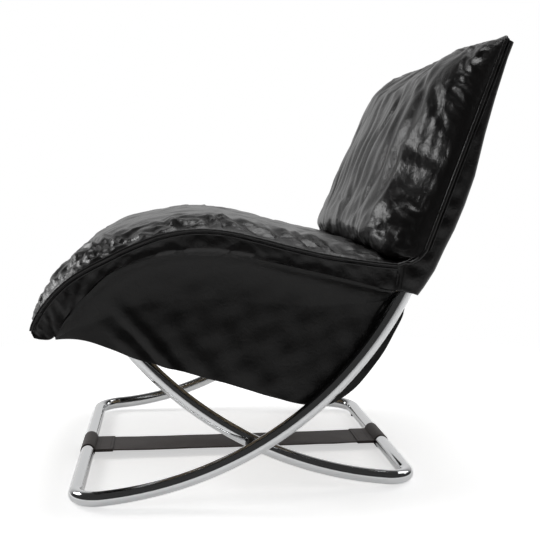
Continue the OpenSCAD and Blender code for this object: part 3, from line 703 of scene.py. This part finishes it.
def back_place(u, v):
    """Rings across the back pillow, from its foot to its top."""
    side = np.where(u < 0.5, 1.0, -1.0)
    w = 1 - np.abs(2 * u - 1)
    k = np.interp(v, np.linspace(0, 1, len(PILLOW)), PILLOW[:, 0])
    s = np.where(k <= 1, k * BACK_LEN, BACK_LEN + (k - 1) * (BACK_TOP - TOUCH - BACK_LEN))
    c = along(PILLOW[:, 1], v) * (BACK_CROWN - BACK_SWELL)
    rear = np.where(s < BACK_LEN - 2 * TUBE_R, -TUBE_R + TOUCH, TOUCH)
    f = np.clip((w - STEP_TO) / 0.8, 0, 1)
    across = np.cos(f * math.pi / 2)
    x_in = np.clip(w / STEP_FROM, 0, 1) * BETWEEN_ARMS
    x_step = BETWEEN_ARMS + (SKIN_X - BETWEEN_ARMS) * np.clip((w - STEP_FROM) / 0.04, 0, 1)
    x = np.where(w < STEP_FROM, x_in, np.where(w < STEP_TO, x_step, SKIN_X * across))
    part = np.clip(s / BACK_LEN, 0, 1)
    full = 3.2 + 4.5 * np.maximum(1 - part * 2, 0) ** 2 + 2 * np.maximum(part * 2 - 1, 0)
    swell = c * np.maximum(1 - across ** full, 0) ** 0.55
    fade = ramp(1 - across, 0, 0.04) * ramp(v, 0.0, 0.1) * ramp(1 - v, 0, 0.12)
    step = rear * (1 - (w - STEP_FROM) / 0.04) + TOUCH
    t = np.where(w < STEP_FROM, rear, np.where(
        w < STEP_TO, step, TOUCH + swell + back_folds(x * side, s) * fade))
    s = s - FOOT_SINK * ramp(t, 5, 65) * ramp(0.16 - v, 0, 0.16)
    return back_point(x * side, s, t)


def back_sewn(co):
    """1 where the pillow lies on its frame, 0 where its front is free."""
    c, n = math.cos(BACK_LEAN), math.sin(BACK_LEAN)
    front = (co[:, 2] - BACK_FOOT[1]) * c - (co[:, 1] - BACK_FOOT[0]) * n
    return 1 - ramp(front, 4, 30)


back_pad = ring_pad("back_pad", 240, 120, back_place)
swollen(back_pad, back_sewn(points_of(back_pad) / MM), 10.0)
finish_piece(back_pad, "front_frame", HIDE, ("back_pillow",))
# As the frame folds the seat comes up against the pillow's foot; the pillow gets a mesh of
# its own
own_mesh(back_pad)


# The shell folds over the back's top past this share, and turns from its side band
# to its rear cover between these shares of half a ring
FOLD_OVER, TURN_FROM, TURN_TO = 0.96, 0.12, 0.18


def shell_place(u, v):
    """Side bands and rear cover of the back as one skin."""
    side = np.where(u < 0.5, 1.0, -1.0)
    w = 1 - np.abs(2 * u - 1)
    k = np.clip(v / FOLD_OVER, 0, 1)
    marks = [0, 0.05, 0.095, 0.12, 0.15, 0.19, 1]
    fs = np.interp(k, marks, list(BACK_SEAM[:, 0]) + [BACK_TOP])
    ft = np.interp(k, marks, list(BACK_SEAM[:, 1]) + [0])
    rs = np.interp(k, [0, 0.19, 1], [-0.19 * BACK_LEN, 0.016 * BACK_LEN, BACK_TOP])
    rt = np.interp(rs, BACK_REAR[:, 0], BACK_REAR[:, 1])
    f = np.clip(w / TURN_FROM, 0, 1)
    turn = np.clip((w - TURN_FROM) / 0.06, 0, 1) * math.pi / 2
    r = np.minimum(11.0, (ft - rt) * 0.5)
    flat = np.clip((w - TURN_TO) / 0.82, 0, 1)
    x = (SKIN_X - r * (1 - np.cos(turn))) * (1 - flat)
    t = ft + (rt + r - ft) * f - r * np.sin(turn)
    s = fs + (rs - fs) * f
    bulge = np.sin(f * math.pi) * np.where(w < TURN_FROM, 1, 0)
    x = x + bulge * (1.2 * wander(s, t, 51, 45) + 1.0)
    t = t + 1.4 * wander(x * side, s, 52, 120) * ramp(flat, 0, 0.1) * ramp(1 - k, 0, 0.08)
    over = np.clip((v - FOLD_OVER) / 0.04, 0, 1)
    t = np.maximum(t, rt * (1 - over))
    return back_point(x * side, s, np.where(over > 0, t, np.minimum(t, 40)))


back_shell = laid_grid("back_shell", 220, 130, shell_place)
thicken(back_shell, SKIN_T, -1)
finish_piece(back_shell, "front_frame", HIDE, ("back_side_band", "back_rear_cover"))

# The welt, from one foot over the top to the other, as (across, up, in front)
CORNER = 7.0
crown = BACK_TOP + WELT_R
half = [(WELT_X, s, t) for s, t in along(BACK_SEAM[2:], np.linspace(0, 1, 24))]
half += [(WELT_X, s, 0) for s in np.linspace(half[-1][1] + 4, crown - CORNER, 50)]
half += [(WELT_X - CORNER * (1 - math.cos(a)), crown - CORNER * (1 - math.sin(a)), 0)
         for a in np.radians(np.arange(15, 90, 15))]
half += [(x, crown, 0) for x in np.linspace(WELT_X - CORNER, 0, 30)]
path = np.array(half + [(-x, s, t) for x, s, t in reversed(half[:-1])])
cord = welt("back_welt_line",
            back_point(path[:, 0] * BACK_WELT_IN, path[:, 1], path[:, 2]))
finish_piece(cord, "front_frame", HIDE, ("back_welt",))
for side, tag in ((1, "right"), (-1, "left")):
    s = np.linspace(8, BACK_TOP - 2, 60)
    cord = welt("back_fell_" + tag, back_point(np.full(60, side * (SKIN_X + 0.6)), s,
                                               np.full(60, -FELL_GAP)), FELL_R * MM)
    finish_piece(cord, "front_frame", HIDE)


# The corner, where seat and back meet and turn against each other

def seat_end_line(u):
    """Rear end of the seat's band, from its piping down to its seam."""
    hi, lo = along(SEAT_EDGE, np.array([0.995]))[0], along(SEAT_SEAM, np.array([0.995]))[0]
    return hi + (lo - hi) * np.asarray(u)[:, None]


# The welt runs on from the seat to the back over a short length
seat_end = along(SEAT_EDGE, 0.985)
for side, tag in ((1, "right"), (-1, "left")):
    a = seat_point(np.array(side * (WELT_X - 1.0)), *seat_end)
    b = back_point(np.array(side * WELT_X * BACK_WELT_IN), *BACK_SEAM[2])
    k = np.linspace(-0.15, 1.12, 16)[:, None]
    cord = welt("corner_welt_" + tag, a + (b - a) * k)
    finish_piece(cord, None, HIDE)
    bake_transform(cord)

    # The seam where the seat's band is sewn to the back's
    def bridge_place(u, v, side=side):
        lead = seat_end_line(u)
        tail = np.stack([np.interp(u, [0, 0.5, 1], BACK_SEAM[[2, 1, 0], i])
                         for i in (0, 1)], -1)
        x = side * (SKIN_X - 1.6 + 0.5 * np.cos(v * 2 * math.pi))
        p0 = seat_point(x, lead[:, 0] - 4, lead[:, 1])
        p1 = back_point(x, tail[:, 0], tail[:, 1] - 3)
        return p0 + (p1 - p0) * v[:, None]

    bridge = laid_grid("band_bridge_" + tag, 24, 12, bridge_place)
    thicken(bridge, 1.6)
    finish_piece(bridge, None, HIDE)
    a = seat_point(np.array(side * SKIN_X), *seat_end_line(np.array([0.5]))[0])
    b = back_point(np.array(side * SKIN_X), *BACK_SEAM[1])
    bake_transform(bridge)


def tuck_place(u, v):
    """Leather from inside the seat's rear edge to inside the pillow's foot."""
    across = 2 * u - 1
    x, a, b = seat_crown_point(across, np.full(u.shape, 0.955))
    p0 = seat_point(x * 0.997, a, b - 7.0)
    corner = ramp(np.abs(across), 0.93, 1.0)
    p1 = back_point(across * SKIN_X * 0.996, -6.0 + 14.0 * corner, 16.0 - 14.5 * corner)
    p = p0 + (p1 - p0) * v[:, None]
    p[:, 2] -= 0.006 * np.sin(v * math.pi)
    return p


tuck = laid_grid("rear_tuck", 120, 16, tuck_place)
thicken(tuck, 2.0)
finish_piece(tuck, None, HIDE)
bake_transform(tuck)


# Floor strap

STRAP_HALF, STRAP_T, SLEEVE_T, TONGUE = 46.0, 2.4, 1.6, 34.0
strap_from = FRONT_BAR_Y + TUBE_R + SLEEVE_T
strap_to = FRONT_BAR_Y + BARS_APART - TUBE_R - SLEEVE_T


def strap_place(u, v):
    """Strap between the sleeves, with a little sag and curled edges."""
    x = (u - 0.5) * 2 * (STRAP_HALF - 0.8)
    y = strap_from + 0.4 + (strap_to - strap_from - 0.8) * v
    free = ramp(v, 0.07, 0.16) * ramp(1 - v, 0.07, 0.16)
    z = BAR_Z - (0.5 * np.sin(v * math.pi) + 0.25 * wander(x, y, 61, 80)
                 + 0.5 * ((x / STRAP_HALF) ** 4)) * free
    return np.stack([x, y, z], -1) * MM


strap = laid_grid("strap_hide", 30, 150, strap_place)
thicken(strap, STRAP_T - 0.2)
round_edges(strap, 0.5)
finish_piece(strap, None, STRAP_HIDE, ("base_strap",))
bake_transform(strap)


def sleeve_path():
    """Leather from the tongue's top end, round the bar and back under the strap."""
    r, h = TUBE_R + SLEEVE_T / 2, (STRAP_T + SLEEVE_T) / 2
    reach = TUBE_R + SLEEVE_T + TONGUE
    a0 = math.asin(h / r)
    start = r * math.cos(a0)
    out = [(y, h) for y in np.linspace(reach - 0.6, start + 3, 16)]
    out += [(r * math.cos(a), r * math.sin(a)) for a in np.linspace(a0, 2 * math.pi - a0, 60)]
    return np.array(out + [(y, -h) for y in np.linspace(start + 3, reach - 0.6, 16)])


def stitch_row(name, y, z):
    """Row of 18 thread stitches across a tongue, joined as one piece."""
    row = []
    for x in np.linspace(-41, 41, 18):
        bpy.ops.object.select_all(action="DESELECT")
        bpy.ops.mesh.primitive_uv_sphere_add(segments=8, ring_count=6, radius=0.45 * MM,
                                             location=(x * MM, y * MM, z * MM))
        bit = bpy.context.object
        bit.scale = (3.6, 1.0, 0.7)
        row.append(bit)
    bpy.ops.object.select_all(action="DESELECT")
    for bit in row:
        bit.select_set(True)
    bpy.context.view_layer.objects.active = row[0]
    bpy.ops.object.join()
    obj = bpy.context.object
    obj.name = obj.data.name = name
    bpy.ops.object.transform_apply(location=True, rotation=True, scale=True)
    return obj


wrap = sleeve_path()
for tag, body, bar_y, way in (("front", "front_frame", FRONT_BAR_Y, 1),
                              ("rear", "rear_frame", FRONT_BAR_Y + BARS_APART, -1)):
    def sleeve_place(u, v, bar_y=bar_y, way=way):
        n = np.linspace(0, 1, len(wrap))
        y, z = np.interp(u, n, wrap[:, 0]), np.interp(u, n, wrap[:, 1])
        x = (v - 0.5) * 2 * (STRAP_HALF - 0.1)
        return np.stack([x, bar_y + way * y, BAR_Z + z], -1) * MM

    sleeve = laid_grid("strap_loop_" + tag, 140, 24, sleeve_place)
    thicken(sleeve, SLEEVE_T - 0.15)
    round_edges(sleeve, 0.4)
    finish_piece(sleeve, body, STRAP_HIDE, (tag + "_strap_sleeve",))
    for n, reach in enumerate((8.0, 28.0)):
        row = stitch_row("strap_stitch_%s_%d" % (tag, n),
                         bar_y + way * (TUBE_R + SLEEVE_T + reach),
                         BAR_Z + STRAP_T / 2 + SLEEVE_T)
        finish_piece(row, body, THREAD, ())


# Camera, light and floor

camera = bpy.data.cameras.new("camera")
camera.lens, camera.sensor_width = 61.016, 36.0
eye = bpy.data.objects.new("camera", camera)
bpy.context.collection.objects.link(eye)
bpy.context.scene.camera = eye
eye.location = (1.787, -0.1723, 0.5305)
eye.rotation_euler = Euler((math.radians(90 - 5.561), 0, math.radians(90 - 6.508)))


def lamp(name, place, aim, size, watts, size_y=None):
    """Softbox at a place, facing aim, in metres."""
    light = bpy.data.lights.new(name, "AREA")
    light.shape, light.size, light.size_y = "RECTANGLE", size, size_y or size
    light.energy = watts
    obj = bpy.data.objects.new(name, light)
    bpy.context.collection.objects.link(obj)
    obj.location = place
    obj.rotation_euler = (Vector(aim) - Vector(place)).to_track_quat("-Z", "Y").to_euler()


lamp("overhead_softbox", (-0.1, 0.2, 2.5), (0, 0, 0.3), 0.9, 26, 1.8)
lamp("front_softbox", (-1.0, -2.3, 1.6), (0, 0, 0.45), 0.9, 22)
lamp("rear_softbox", (-0.6, 2.4, 1.7), (0, 0, 0.5), 1.4, 12)
lamp("camera_side_strip", (1.9, 0.1, 2.3), (0.3, 0, 0.4), 0.16, 5, 1.6)


def seen_rays(tree):
    """1 for camera, mirror and glass rays, which see the white background; else 0."""
    path = tree.nodes.new("ShaderNodeLightPath")
    both = add_node(tree, "ShaderNodeMath", {"operation": "MAXIMUM"},
                    _0=path.outputs["Is Camera Ray"], _1=path.outputs["Is Glossy Ray"])
    seen = add_node(tree, "ShaderNodeMath", {"operation": "MAXIMUM"},
                    _0=both.outputs[0], _1=path.outputs["Is Transmission Ray"])
    return seen.outputs[0], path


world = bpy.data.worlds.new("studio")
bpy.context.scene.world = world
world.use_nodes = True
tree = world.node_tree
tree.nodes.clear()
seen, path = seen_rays(tree)
way = add_node(tree, "ShaderNodeTexCoord")
split = add_node(tree, "ShaderNodeSeparateXYZ", Vector=way.outputs["Generated"])
# Reflections show the white backdrop behind the chair and the dark room before it
room = add_node(tree, "ShaderNodeMapRange",
                {"From Min": -0.90, "From Max": -0.50, "To Min": 0.75, "To Max": 0.04},
                _0=split.outputs["X"])
mirror = add_node(tree, "ShaderNodeMath", {"operation": "MAXIMUM"},
                  _0=room.outputs[0], _1=path.outputs["Is Camera Ray"])
plain = add_node(tree, "ShaderNodeBackground", {"Color": (1, 1, 1, 1), "Strength": 0.3})
white = add_node(tree, "ShaderNodeBackground", {"Color": (1, 1, 1, 1)},
                 Strength=mirror.outputs[0])
mix = add_node(tree, "ShaderNodeMixShader", _0=seen, _1=plain.outputs[0],
               _2=white.outputs[0])
add_node(tree, "ShaderNodeOutputWorld", Surface=mix.outputs[0])

bpy.ops.object.select_all(action="DESELECT")
bpy.ops.mesh.primitive_plane_add(size=40, location=(0, 0, 0))
floor = bpy.context.object
floor.name = "floor"
mat = bpy.data.materials.new("white_paper_sweep")
mat.use_nodes = True
tree = mat.node_tree
paper = tree.nodes["Principled BSDF"]
paper.inputs["Base Color"].default_value = hex_linear("#f4f4f4")
paper.inputs["Roughness"].default_value = 0.9
paper.inputs["Specular IOR Level"].default_value = 0.1
paper.inputs["Emission Color"].default_value = (1, 1, 1, 1)
seen, path = seen_rays(tree)
far = add_node(tree, "ShaderNodeTexCoord")
# Reflections see less glow than the camera, and a dark room on the camera's side
split = add_node(tree, "ShaderNodeSeparateXYZ", Vector=far.outputs["Object"])
dim = add_node(tree, "ShaderNodeMapRange", {"From Min": 0.3, "From Max": 1.1, "To Min": 0.45,
                                            "To Max": 0.0}, _0=split.outputs["X"])
dim = add_node(tree, "ShaderNodeMath", {"operation": "MULTIPLY"},
               _0=dim.outputs[0], _1=seen)
seen = add_node(tree, "ShaderNodeMath", {"operation": "MAXIMUM"},
                _0=dim.outputs[0], _1=path.outputs["Is Camera Ray"]).outputs[0]
glow = add_node(tree, "ShaderNodeMath", {"operation": "MULTIPLY", 1: 0.55}, _0=seen)
tree.links.new(glow.outputs[0], paper.inputs["Emission Strength"])
# Past 1.4 m from the chair the paper runs out into the white backdrop
reach = add_node(tree, "ShaderNodeVectorMath", {"operation": "LENGTH"},
                 _0=far.outputs["Object"])
fade = add_node(tree, "ShaderNodeMapRange", {"From Min": 0.7, "From Max": 1.4},
                _0=reach.outputs["Value"])
edge = add_node(tree, "ShaderNodeMath", {"operation": "MULTIPLY"},
                _0=fade.outputs[0], _1=seen)
blank = add_node(tree, "ShaderNodeEmission", {"Strength": 1.0})
mix = add_node(tree, "ShaderNodeMixShader", _0=edge.outputs[0], _1=paper.outputs[0],
               _2=blank.outputs[0])
tree.links.new(mix.outputs[0], tree.nodes["Material Output"].inputs["Surface"])
floor.data.materials.append(mat)

bpy.context.scene.view_settings.view_transform = "Standard"
